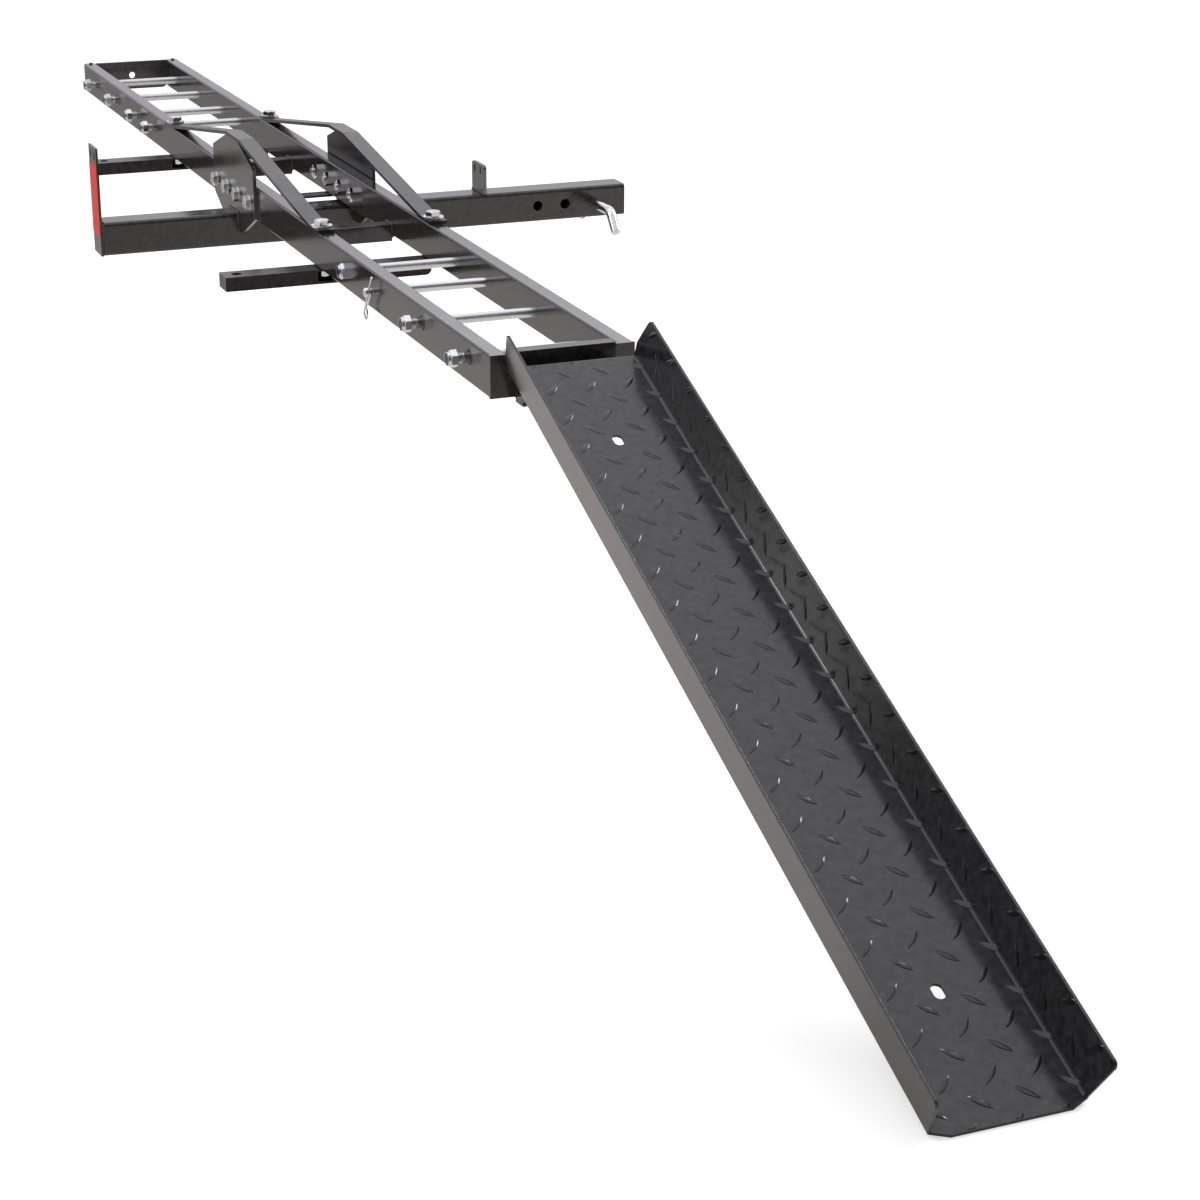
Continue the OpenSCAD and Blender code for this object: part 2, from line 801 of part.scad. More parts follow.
module ramp_gussets() {
  f = -end_face - turn_gap;
  low = prop_z + prop_t;
  color("#2b292a")
  on_track() for (side = [0, 1]) mirror([side, 0, 0])
    translate([prop_w / 2 - gusset_t, 0, 0]) along_x(gusset_t)
      polygon([[f, low], [f, hook_leg_z], [under_y(hook_leg_z) + gusset_in, hook_leg_z],
        [f - prop_out, low]]);
}

module ramp_prop() {
  f = -end_face - turn_gap;
  color("#2b292a")
  on_track() translate([-prop_w / 2, f - prop_out, prop_z]) cube([prop_w, prop_out, prop_t]);
}

// Every sub-part, one at a time or together

hitch_bar();
end_plate();
reflector();
light_bracket();
side_plate_outer();
side_plate_inner();
tie_bar();
cross_brace_ramp();
cross_brace_tail();
rail_outer_ramp();
rail_inner_ramp();
rail_outer_tail();
rail_inner_tail();
ramp_end_plate();
tail_end_plate();
rail_plugs();
plate_bolts();
plate_washers();
plate_nuts();
strap_outer();
strap_inner();
strap_bolts();
strap_washers();
strap_nuts();
rivet_nuts();
arm_ramp();
arm_tail();
rung_bolts();
rung_nuts();
nut_inserts();
lock_pin();
lock_clip();
hitch_pin();
hitch_clip();
ramp_tray();
ramp_hook();
ramp_gussets();
ramp_prop();
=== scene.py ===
import bpy
import bmesh
import math
import random
from mathutils import Matrix, Vector


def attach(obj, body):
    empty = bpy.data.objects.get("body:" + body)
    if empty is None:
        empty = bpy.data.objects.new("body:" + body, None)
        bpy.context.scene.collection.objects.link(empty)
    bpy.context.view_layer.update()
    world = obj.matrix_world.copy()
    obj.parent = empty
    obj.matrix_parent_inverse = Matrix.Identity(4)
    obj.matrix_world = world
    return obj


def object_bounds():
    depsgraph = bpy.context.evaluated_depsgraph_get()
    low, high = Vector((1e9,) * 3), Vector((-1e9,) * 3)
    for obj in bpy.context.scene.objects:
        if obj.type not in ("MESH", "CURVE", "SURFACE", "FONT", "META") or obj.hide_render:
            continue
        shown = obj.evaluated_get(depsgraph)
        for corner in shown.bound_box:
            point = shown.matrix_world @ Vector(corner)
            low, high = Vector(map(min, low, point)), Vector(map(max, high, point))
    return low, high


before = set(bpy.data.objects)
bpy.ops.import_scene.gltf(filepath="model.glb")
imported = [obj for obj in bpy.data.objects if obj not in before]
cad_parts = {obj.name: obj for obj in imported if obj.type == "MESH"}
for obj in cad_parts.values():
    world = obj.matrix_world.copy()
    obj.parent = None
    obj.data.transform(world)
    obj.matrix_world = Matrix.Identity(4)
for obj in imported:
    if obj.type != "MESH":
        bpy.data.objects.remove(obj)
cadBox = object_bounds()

print("frame loaded:", len(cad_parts), "nodes")

scene = bpy.context.scene
scene.view_settings.view_transform = "Standard"

mm = 0.001
trackX = -0.548  # middle of the wheel track
railMid = 0.0564  # height of the rungs


def linearColor(hexColor):
    parts = [int(hexColor[i:i + 2], 16) / 255 for i in (1, 3, 5)]
    return tuple(c / 12.92 if c < 0.04045 else ((c + 0.055) / 1.055) ** 2.4 for c in parts) + (1,)


# the camera, fitted to corners and edges of the photograph
cameraPose = {
    "place": (-1.62307, -3.93408, 0.87231),
    "heading": 22.05,
    "dip": 20.36,
    "roll": 0.25,
    "lens": 78.48,
    "sensor": 36,
    "farthest": 100,
}


def addCamera(pose):
    heading, dip, roll = (math.radians(pose[k]) for k in ("heading", "dip", "roll"))
    forward = Vector((math.sin(heading) * math.cos(dip), math.cos(heading) * math.cos(dip), -math.sin(dip)))
    level = Vector((math.cos(heading), -math.sin(heading), 0))
    upright = level.cross(forward)
    right = level * math.cos(roll) + upright * math.sin(roll)
    up = upright * math.cos(roll) - level * math.sin(roll)
    data = bpy.data.cameras.new("camera")
    data.lens = pose["lens"]
    data.sensor_width = pose["sensor"]
    data.clip_end = pose["farthest"]
    camera = bpy.data.objects.new("camera", data)
    scene.collection.objects.link(camera)
    turned = Matrix((right, up, -forward)).transposed().to_4x4()
    turned.translation = Vector(pose["place"])
    camera.matrix_world = turned
    scene.camera = camera


addCamera(cameraPose)
print("camera placed")


# adds a node, sets its inputs or links sockets to them
def addNode(tree, kind, inputs=None, **settings):
    node = tree.nodes.new("ShaderNode" + kind)
    for key, value in settings.items():
        setattr(node, key, value)
    for key, value in (inputs or {}).items():
        if isinstance(value, bpy.types.NodeSocket):
            tree.links.new(value, node.inputs[key])
        else:
            node.inputs[key].default_value = value
    return node


def blendColors(tree, factor, first, second):
    return addNode(tree, "Mix", {"Factor": factor, 6: first, 7: second}, data_type="RGBA").outputs[2]


def perMetre(sizeInMm):
    return 1 / (sizeInMm * mm)  # pattern scale whose features are that many millimetres


# white room: what the lens sees, what the metal mirrors and what lights the coat are set apart
studio = {
    "skyDiffuse": 0.55,
    "skySeen": 1.0,
    "frontSeen": 0.25,  # what metal sees behind the camera
    "frontFade": (-0.75, 0.25),  # direction along Y where the front turns into the back
    "skyTint": (0.86, 0.85, 0.92, 1),
    "floorTint": (0.68, 0.62, 0.605, 1),  # as the coat mirrors it, darker behind the track
    "floorTintBack": (0.36, 0.33, 0.325, 1),
    "backFade": (-0.2, 1.9),  # depth where the one tint turns into the other
    "floorColor": "#d8d8d8",
    "floorLift": 0.54,
    "glossLift": 0.2,
    "farLift": 0.34,  # added away from the object, where the lamps fall off
    "farFade": (2.5, 8),
    "middleY": -0.5,
    "floorSize": 40,
    "floorDrop": 0.5,  # mm below the foot of the ramp
    "lamps": [
        # name, place, aims at, side lengths, watts
        ("topBox", (-0.7, -0.4, 3.7), (-0.5, -0.4, 0), (5.2, 6.0), 50),
        ("backBox", (1.6, 3.6, 2.2), (-0.5, 0, 0), (3.4, 1.8), 13.5),
        ("leftStrip", (-3.0, 0.2, 2.6), (-0.5, -1.2, 0), (0.5, 2.4), 34),
        ("rightKey", (2.6, -0.2, 2.1), (-0.55, -1.7, -0.13), (2.5, 0.85), 92),
    ],
}


def seenRays(tree):
    path = addNode(tree, "LightPath")
    seen = addNode(tree, "Math", {0: path.outputs["Is Camera Ray"], 1: path.outputs["Is Glossy Ray"]},
                   operation="MAXIMUM")
    return addNode(tree, "Math", {0: seen.outputs[0], 1: path.outputs["Is Transmission Ray"]},
                   operation="MAXIMUM").outputs[0]


def addWorld():
    world = bpy.data.worlds.new("softStudio")
    scene.world = world
    world.use_nodes = True
    tree = world.node_tree
    tree.nodes.clear()
    path = addNode(tree, "LightPath")
    direction = addNode(tree, "TexCoord")
    parts = addNode(tree, "SeparateXYZ", {0: direction.outputs["Generated"]})
    fadeStart, fadeEnd = studio["frontFade"]
    side = addNode(tree, "MapRange", {"Value": parts.outputs["Y"], "From Min": fadeStart,
                                      "From Max": fadeEnd, "To Min": studio["frontSeen"],
                                      "To Max": studio["skySeen"]},
                   interpolation_type="SMOOTHSTEP")
    glossy = addNode(tree, "Mix", {"Factor": path.outputs["Is Glossy Ray"], "A": studio["skySeen"],
                                   "B": side.outputs["Result"]})
    level = addNode(tree, "Mix", {"Factor": seenRays(tree), "A": studio["skyDiffuse"],
                                  "B": glossy.outputs["Result"]})
    color = blendColors(tree, path.outputs["Is Glossy Ray"], (1, 1, 1, 1), studio["skyTint"])
    sky = addNode(tree, "Background", {"Color": color, "Strength": level.outputs["Result"]})
    addNode(tree, "OutputWorld", {"Surface": sky.outputs[0]})


def addFloor(height):
    bm = bmesh.new()
    half = studio["floorSize"] / 2
    bmesh.ops.create_grid(bm, x_segments=2, y_segments=2, size=half,
                          matrix=Matrix.Translation((trackX, 0, height)))
    mesh = bpy.data.meshes.new("studioFloor")
    bm.to_mesh(mesh)
    bm.free()
    floor = bpy.data.objects.new("studioFloor", mesh)
    scene.collection.objects.link(floor)
    mat = bpy.data.materials.new("palePaper")
    mat.use_nodes = True
    tree = mat.node_tree
    tree.nodes.clear()
    gloss = addNode(tree, "LightPath").outputs["Is Glossy Ray"]
    place = addNode(tree, "TexCoord").outputs["Object"]
    depth = addNode(tree, "SeparateXYZ", {0: place}).outputs["Y"]
    backStart, backEnd = studio["backFade"]
    back = addNode(tree, "MapRange", {"Value": depth, "From Min": backStart, "From Max": backEnd},
                   interpolation_type="SMOOTHSTEP").outputs["Result"]
    shaded = blendColors(tree, back, studio["floorTint"], studio["floorTintBack"])
    tint = blendColors(tree, gloss, linearColor(studio["floorColor"]), shaded)
    paper = addNode(tree, "BsdfDiffuse", {"Color": tint})
    middle = (trackX, studio["middleY"], height)
    away = addNode(tree, "VectorMath", {0: place, 1: middle}, operation="DISTANCE")
    farStart, farEnd = studio["farFade"]
    far = addNode(tree, "MapRange", {"Value": away.outputs["Value"], "From Min": farStart,
                                     "From Max": farEnd, "To Min": studio["floorLift"],
                                     "To Max": studio["floorLift"] + studio["farLift"]},
                  interpolation_type="SMOOTHSTEP")
    dimmed = addNode(tree, "MapRange", {"Value": gloss, "To Min": 1, "To Max": studio["glossLift"]})
    seen = addNode(tree, "Math", {0: seenRays(tree), 1: dimmed.outputs["Result"]}, operation="MULTIPLY")
    lift = addNode(tree, "Math", {0: seen.outputs[0], 1: far.outputs["Result"]}, operation="MULTIPLY")
    glow = addNode(tree, "Emission", {"Color": (1, 1, 1, 1), "Strength": lift.outputs[0]})
    both = addNode(tree, "AddShader", {0: paper.outputs[0], 1: glow.outputs[0]})
    addNode(tree, "OutputMaterial", {"Surface": both.outputs[0]})
    mesh.materials.append(mat)


def addLamps():
    for name, place, target, sides, watts in studio["lamps"]:
        data = bpy.data.lights.new(name, "AREA")
        data.shape = "RECTANGLE"
        data.size, data.size_y = sides
        data.energy = watts
        lamp = bpy.data.objects.new(name, data)
        scene.collection.objects.link(lamp)
        aim = (Vector(target) - Vector(place)).to_track_quat("-Z", "Y")
        lamp.matrix_world = Matrix.Translation(place) @ aim.to_matrix().to_4x4()


addWorld()
addFloor(cadBox[0][2] - studio["floorDrop"] * mm)
addLamps()
print("studio ready")


def newMaterial(name):
    mat = bpy.data.materials.new(name)
    mat.use_nodes = True
    mat.node_tree.nodes.clear()
    return mat, mat.node_tree


def patchNoise(tree, place, sizeInMm, low, high, detail=3):
    # noise of a real size, brought from where most of it lies to the range low to high
    noise = addNode(tree, "TexNoise", {"Vector": place, "Scale": perMetre(sizeInMm), "Detail": detail})
    return addNode(tree, "MapRange", {"Value": noise.outputs["Fac"], "From Min": 0.3, "From Max": 0.7,
                                      "To Min": low, "To Max": high}).outputs["Result"]


def faceMask(tree, radius, wear):
    # 1 on the faces, 0 at an edge, where the rounded normal turns away from the face
    rounded = addNode(tree, "Bevel", {"Radius": radius}, samples=4)
    face = addNode(tree, "NewGeometry")
    turn = addNode(tree, "VectorMath", {0: rounded.outputs[0], 1: face.outputs["Normal"]},
                   operation="DOT_PRODUCT")
    mask = addNode(tree, "MapRange", {"Value": turn.outputs["Value"], "From Min": wear["edgeTurn"],
                                      "From Max": wear["faceTurn"], "To Min": 0, "To Max": 1})
    return rounded.outputs[0], mask.outputs["Result"]


# what all the powder coats share, sizes in mm
coatWear = {"faceTurn": 0.985, "edgeTurn": 0.8, "rubSize": 9, "rubMost": 0.55, "peelDepth": 0.12}


# polyester powder coat on steel: baked black, semi-gloss, fine orange peel drawn coarse enough to show,
# rubbed a little lighter in patches on the faces, and round at the edges, where it catches the lamps
def powderCoat(name, coat):
    mat, tree = newMaterial(name)
    place = addNode(tree, "TexCoord").outputs["Object"]
    drift = patchNoise(tree, place, coat["driftSize"], 0, 1)
    base = blendColors(tree, drift, linearColor(coat["dark"]), linearColor(coat["light"]))
    if "edgeRadius" in coat:
        rounded, faces = faceMask(tree, coat["edgeRadius"] * mm, coatWear)
        patches = patchNoise(tree, place, coatWear["rubSize"], 0, coatWear["rubMost"])
        wear = addNode(tree, "Math", {0: faces, 1: patches}, operation="MULTIPLY")
        base = blendColors(tree, wear.outputs[0], base, linearColor(coat["rubbed"]))
    else:
        rounded = addNode(tree, "NewGeometry").outputs["Normal"]  # the piece's own rounding is enough
    rough = patchNoise(tree, place, coat["smearSize"], coat["roughLow"], coat["roughHigh"], detail=5)
    peel = addNode(tree, "TexNoise", {"Vector": place, "Scale": perMetre(coat["peelSize"]), "Detail": 2})
    bump = addNode(tree, "Bump", {"Height": peel.outputs["Fac"], "Strength": coat["peelStrength"],
                                  "Distance": coatWear["peelDepth"] * mm, "Normal": rounded})
    shader = addNode(tree, "BsdfPrincipled", {"Base Color": base, "Roughness": rough,
                                              "Normal": bump.outputs[0], "IOR": coat["ior"]})
    addNode(tree, "OutputMaterial", {"Surface": shader.outputs[0]})
    return mat


# what all the zinc plated pieces share, sizes in mm
zincWear = {
    "faceTurn": 0.98, "edgeTurn": 0.75, "spotSize": 2.5, "spotMost": 0.4, "smearSize": 4,
    "markSize": 1, "markStrength": 0.35, "markDepth": 0.06,
    "endFacing": -0.9,  # a shank end looks this far towards -X
}


# electroplated zinc, clear passivated: bright faces with turned and rolled marks, and edges that go
# faintly blue, straw or dull in patches
def zincPlate(name, zinc):
    mat, tree = newMaterial(name)
    place = addNode(tree, "TexCoord").outputs["Object"]
    rounded, faces = faceMask(tree, zinc["edgeRadius"] * mm, zincWear)
    tint = patchNoise(tree, place, zinc["tintSize"], 0, 1)
    base = blendColors(tree, tint, linearColor(zinc["cool"]), linearColor(zinc["warm"]))
    spots = patchNoise(tree, place, zincWear["spotSize"], 0, zincWear["spotMost"], detail=6)
    base = blendColors(tree, spots, base, linearColor(zinc["dull"]))
    base = blendColors(tree, faces, base, linearColor(zinc["bright"]))
    if "endsBeyond" in zinc:  # cut shank ends inside the nuts: dull, and darkened with painted shade as in a recess
        facing = addNode(tree, "SeparateXYZ", {0: addNode(tree, "NewGeometry").outputs["True Normal"]})
        flat = addNode(tree, "Math", {0: facing.outputs["X"], 1: zincWear["endFacing"]},
                       operation="LESS_THAN")
        where = addNode(tree, "SeparateXYZ", {0: place})
        outer = addNode(tree, "Math", {0: where.outputs["X"], 1: zinc["endsBeyond"]},
                        operation="LESS_THAN")
        sawnEndShade = addNode(tree, "Math", {0: flat.outputs[0], 1: outer.outputs[0]}, operation="MULTIPLY")
        base = blendColors(tree, sawnEndShade.outputs[0], base, linearColor(zinc["sawnEndShade"]))
    rough = patchNoise(tree, place, zincWear["smearSize"], zinc["roughLow"], zinc["roughHigh"], detail=6)
    marks = addNode(tree, "Mapping", {"Vector": place, "Scale": zinc["marks"]})
    lines = addNode(tree, "TexNoise", {"Vector": marks.outputs[0],
                                       "Scale": perMetre(zincWear["markSize"]), "Detail": 3})
    bump = addNode(tree, "Bump", {"Height": lines.outputs["Fac"], "Strength": zincWear["markStrength"],
                                  "Distance": zincWear["markDepth"] * mm, "Normal": rounded})
    shader = addNode(tree, "BsdfPrincipled", {"Base Color": base, "Metallic": 1, "Roughness": rough,
                                              "Normal": bump.outputs[0]})
    addNode(tree, "OutputMaterial", {"Surface": shader.outputs[0]})
    return mat


# prismatic reflective film: clear acrylic face over honeycomb cells that send the light back pinkish red
def prismFilm(name, film):
    mat, tree = newMaterial(name)
    place = addNode(tree, "TexCoord").outputs["Object"]
    flat = addNode(tree, "Mapping", {"Vector": place, "Scale": (0, 1, 1)})
    cells = addNode(tree, "TexVoronoi", {"Vector": flat.outputs[0], "Scale": perMetre(film["cell"]),
                                         "Randomness": 0.0}, feature="DISTANCE_TO_EDGE")
    wallFrom, wallTo = film["wallFade"]
    walls = addNode(tree, "MapRange", {"Value": cells.outputs["Distance"], "From Min": wallFrom,
                                       "From Max": wallTo, "To Min": 1, "To Max": 0})
    glow = patchNoise(tree, place, film["glowSize"], 0, 1)
    base = blendColors(tree, glow, linearColor(film["deep"]), linearColor(film["bright"]))
    base = blendColors(tree, walls.outputs[0], base, linearColor(film["wall"]))
    bump = addNode(tree, "Bump", {"Height": walls.outputs[0], "Strength": film["wallStrength"],
                                  "Distance": film["wallHeight"] * mm})
    shader = addNode(tree, "BsdfPrincipled", {"Base Color": base, "Roughness": film["rough"],
                                              "IOR": film["ior"], "Specular IOR Level": film["gloss"],
                                              "Normal": bump.outputs[0]})
    addNode(tree, "OutputMaterial", {"Surface": shader.outputs[0]})
    return mat


# what the moulded pieces share, sizes in mm
plasticWear = {
    "faceTurn": 0.98, "edgeTurn": 0.75, "edgeRadius": 0.5, "driftSize": 14, "smearSize": 6,
    "grainStrength": 0.4, "grainDepth": 0.05, "ior": 1.5,
}


# moulded plastic: fine spark-eroded grain, lighter on the faces than at the edges
def mouldedPlastic(name, plastic):
    mat, tree = newMaterial(name)
    place = addNode(tree, "TexCoord").outputs["Object"]
    rounded, faces = faceMask(tree, plasticWear["edgeRadius"] * mm, plasticWear)
    drift = patchNoise(tree, place, plasticWear["driftSize"], 0, 1)
    base = blendColors(tree, drift, linearColor(plastic["dark"]), linearColor(plastic["light"]))
    base = blendColors(tree, faces, base, linearColor(plastic["face"]))
    grain = addNode(tree, "TexNoise", {"Vector": place, "Scale": perMetre(plastic["grain"]), "Detail": 4})
    rough = patchNoise(tree, place, plasticWear["smearSize"], plastic["roughLow"], plastic["roughHigh"])
    bump = addNode(tree, "Bump", {"Height": grain.outputs["Fac"],
                                  "Strength": plasticWear["grainStrength"],
                                  "Distance": plasticWear["grainDepth"] * mm, "Normal": rounded})
    shader = addNode(tree, "BsdfPrincipled", {"Base Color": base, "Roughness": rough,
                                              "IOR": plasticWear["ior"], "Normal": bump.outputs[0]})
    addNode(tree, "OutputMaterial", {"Surface": shader.outputs[0]})
    return mat


frameCoat = powderCoat("blackPowderCoatFrame", {
    "dark": "#181516", "light": "#1e1b1b", "rubbed": "#3d3a39", "edgeRadius": 0.6, "driftSize": 220,
    "smearSize": 70, "roughLow": 0.13, "roughHigh": 0.18, "peelSize": 3, "peelStrength": 0.05,
    "ior": 1.58,
})
# painted light: a lighter, more reflective copy of the frame coat, on the outer side plate and the light
# bracket
litPlateCoat = powderCoat("blackPowderCoatPlatesLit", {
    "dark": "#1b1818", "light": "#221f1f", "rubbed": "#454241", "edgeRadius": 0.8, "driftSize": 90,
    "smearSize": 50, "roughLow": 0.13, "roughHigh": 0.2, "peelSize": 3, "peelStrength": 0.05,
    "ior": 2.1,
})
# painted shade: a darker, duller copy of the frame coat, on the bent and the hidden flat stock
shadedCoat = powderCoat("blackPowderCoatShaded", {
    "dark": "#131112", "light": "#181617", "rubbed": "#3d3a39", "edgeRadius": 0.6, "driftSize": 120,
    "smearSize": 60, "roughLow": 0.18, "roughHigh": 0.25, "peelSize": 3, "peelStrength": 0.05,
    "ior": 1.3,
})
rampCoat = powderCoat("blackPowderCoatRamp", {
    "dark": "#181617", "light": "#1d1b1d", "rubbed": "#454345", "edgeRadius": 1.4, "driftSize": 260,
    "smearSize": 90, "roughLow": 0.15, "roughHigh": 0.2, "peelSize": 3, "peelStrength": 0.05,
    "ior": 1.5,
})
lugCoat = powderCoat("blackPowderCoatLugs", {
    "dark": "#181617", "light": "#1d1b1d", "driftSize": 260, "smearSize": 90, "roughLow": 0.14,
    "roughHigh": 0.18, "peelSize": 3, "peelStrength": 0.03, "ior": 1.52,
})
weldCoat = powderCoat("blackPowderCoatWeld", {
    "dark": "#171515", "light": "#1f1c1c", "driftSize": 12, "smearSize": 8, "roughLow": 0.1,
    "roughHigh": 0.18, "peelSize": 1.2, "peelStrength": 0.1, "ior": 1.6,
})
boltZinc = zincPlate("brightZincBolts", {
    "cool": "#a9aeb3", "warm": "#b1aea6", "dull": "#7d8184", "bright": "#cfd1d3", "edgeRadius": 0.3,
    "tintSize": 12, "roughLow": 0.07, "roughHigh": 0.16, "marks": (3, 0.6, 0.6),
})
rungZinc = zincPlate("brightZincRungs", {
    "cool": "#b4b9be", "warm": "#bab7af", "dull": "#8d9194", "bright": "#cfd1d3", "edgeRadius": 0.4,
    "tintSize": 30, "roughLow": 0.24, "roughHigh": 0.4, "marks": (0.4, 1.6, 1.6),
    # the dark colour of the shank ends is painted shade inside the nuts
    "endsBeyond": -0.62, "sawnEndShade": "#33353c",
})
washerZinc = zincPlate("brightZincWashers", {
    "cool": "#a3a8ad", "warm": "#aeaba3", "dull": "#74787b", "bright": "#c6c8ca", "edgeRadius": 0.35,
    "tintSize": 9, "roughLow": 0.12, "roughHigh": 0.26, "marks": (1, 2.4, 2.4),
})
pinZinc = zincPlate("brightZincPins", {
    "cool": "#b0b5ba", "warm": "#b7b4ac", "dull": "#84888b", "bright": "#d5d7d9", "edgeRadius": 0.6,
    "tintSize": 25, "roughLow": 0.1, "roughHigh": 0.2, "marks": (0.5, 0.5, 2),
})
springSteel = zincPlate("platedSpringSteel", {
    "cool": "#b4b8bc", "warm": "#bab7b1", "dull": "#8a8e91", "bright": "#d8dadb", "edgeRadius": 0.2,
    "tintSize": 15, "roughLow": 0.12, "roughHigh": 0.24, "marks": (2, 2, 0.4),
})
redFilm = prismFilm("redPrismFilm", {
    "deep": "#e63b3c", "bright": "#ee4948", "wall": "#cb3536", "cell": 4.2, "wallFade": (0.02, 0.09),
    "wallStrength": 0.25, "wallHeight": 0.1, "glowSize": 30, "rough": 0.4, "ior": 1.49, "gloss": 0.12,
})
plugPlastic = mouldedPlastic("blackPolyethylene", {
    "dark": "#161617", "light": "#202021", "face": "#343435", "grain": 0.8,
    "roughLow": 0.42, "roughHigh": 0.55,
})
ringNylon = mouldedPlastic("blueNylon", {
    "dark": "#232c5c", "light": "#2f3a74", "face": "#4a558f", "grain": 0.6,
    "roughLow": 0.32, "roughHigh": 0.45,
})

finishes = {
    frameCoat: """hitch_bar end_plate tie_bar cross_brace_ramp cross_brace_tail
        rail_outer_ramp rail_inner_ramp rail_outer_tail rail_inner_tail ramp_end_plate tail_end_plate""",
    litPlateCoat: "side_plate_outer light_bracket",
    shadedCoat: "side_plate_inner strap_outer strap_inner arm_ramp arm_tail ramp_hook",
    rampCoat: "ramp_tray ramp_gussets ramp_prop",
    boltZinc: "plate_bolts plate_nuts strap_bolts strap_nuts rung_nuts rivet_nuts",
    rungZinc: "rung_bolts",
    washerZinc: "plate_washers strap_washers",
    pinZinc: "lock_pin hitch_pin",
    springSteel: "lock_clip hitch_clip",
    redFilm: "reflector",
    plugPlastic: "rail_plugs",
    ringNylon: "nut_inserts",
}
for finish, names in finishes.items():
    for name in names.split():
        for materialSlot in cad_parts[name].material_slots:
            materialSlot.material = finish
print("materials assigned")


def finishPiece(name, bm, material, body):
    bmesh.ops.recalc_face_normals(bm, faces=bm.faces)
    mesh = bpy.data.meshes.new(name)
    bm.to_mesh(mesh)
    bm.free()
    mesh.materials.append(material)
    for face in mesh.polygons:
        face.use_smooth = True
    piece = bpy.data.objects.new(name, mesh)
    scene.collection.objects.link(piece)
    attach(piece, body)


def addCopy(bm, mesh, place):
    # one more copy of a small mesh, put in place
    mesh.transform(place)
    bm.from_mesh(mesh)
    mesh.transform(place.inverted())


# raised lugs of the checker plate, drawn on the flat sheet in mm and then folded with it
tread = {
    "long": 28.5, "wide": 7.0, "high": 0.85, "sink": 0.06, "sides": 20,
    "taper": 0.8,  # 0 gives an ellipse, more gives sharper ends
    "rings": [(0.7, 0.64), (0.55, 0.26), (0.3, 0.1)],  # how much each ring shrinks, its share of the height
    "pitchAcross": 47, "pitchDown": 54,
    # centre across, centre down and turn of the two lugs of a cell
    "cell": [(-19.6, 1048.7, -45), (-43.5, 1077, 45)],
    "columns": (-3, 5), "rows": (-21, 3),
    "foldShare": 0.38,  # of a lug's length, nearer than that to a fold it counts as on the flange
    "flangeClear": 14,  # lugs on the flanges keep this far from the tray's ends
    "floorOver": 8,  # lugs on the floor run over the ends by up to this
    "rimClear": 4, "endTrim": 2,
    "halfFloor": 77.5, "floorTop": 3, "lean": 10.3, "flangeReach": 51, "foldRadius": 3.5,
    "rampStart": (trackX, -1.191, 0.072), "slope": 21.6, "rampLen": 1129,
    "slots": [151, 978], "slotClear": (14, 20),
}
flangeRim = tread["halfFloor"] + tread["flangeReach"]
foldBend = math.radians(90 - tread["lean"])
foldStart = tread["halfFloor"] - tread["foldRadius"] * math.tan(foldBend / 2)


def flatLug():
    bm = bmesh.new()
    bmesh.ops.create_circle(bm, cap_ends=True, segments=tread["sides"], radius=1)
    for vert in bm.verts:
        vert.co.y *= abs(vert.co.y) ** tread["taper"]
    bmesh.ops.scale(bm, vec=(tread["long"] / 2, tread["wide"] / 2, 1), verts=bm.verts)
    top = bm.faces[:]
    for edge in bm.edges:
        edge.smooth = False  # the foot of a lug stays sharp, so its flank keeps its own slope
    for shrink, rise in tread["rings"]:
        grown = bmesh.ops.extrude_face_region(bm, geom=top)["geom"]
        verts = [g for g in grown if isinstance(g, bmesh.types.BMVert)]
        bmesh.ops.scale(bm, vec=(shrink, shrink, 1), verts=verts)
        bmesh.ops.translate(bm, vec=(0, 0, rise * tread["high"]), verts=verts)
        top = [g for g in grown if isinstance(g, bmesh.types.BMFace)]
    bmesh.ops.holes_fill(bm, edges=[e for e in bm.edges if e.is_boundary])
    mesh = bpy.data.meshes.new("oneLug")
    bm.to_mesh(mesh)
    bm.free()
    return mesh


def foldOntoTray(point):
    # sheet coordinates in mm: across, down the slope, above the sheet
    across, down, above = point
    side = 1 if across > 0 else -1
    radius = tread["foldRadius"]
    past = abs(across) - foldStart
    if past <= 0:
        return Vector((across, -down, tread["floorTop"] + above))
    turn = min(past / radius, foldBend)
    straight = max(0, past - radius * foldBend)
    out = foldStart + (radius - above) * math.sin(turn) + straight * math.cos(turn)
    rise = radius - (radius - above) * math.cos(turn) + straight * math.sin(turn)
    return Vector((side * out, -down, tread["floorTop"] + rise))


def ontoSlope(bm):
    slope = Matrix.Rotation(math.radians(tread["slope"]), 4, "X")
    place = Matrix.Translation(tread["rampStart"]) @ slope
    bmesh.ops.transform(bm, matrix=place @ Matrix.Scale(mm, 4), verts=bm.verts)


def lugFits(across, down):
    onFlange = abs(across) > tread["halfFloor"] - tread["long"] * tread["foldShare"]
    endClear = tread["flangeClear"] if onFlange else -tread["floorOver"]
    if abs(across) > flangeRim - tread["rimClear"] or not endClear < down < tread["rampLen"] - endClear:
        return False
    clearAcross, clearDown = tread["slotClear"]
    return not any(abs(across) < clearAcross and abs(down - slot) < clearDown for slot in tread["slots"])


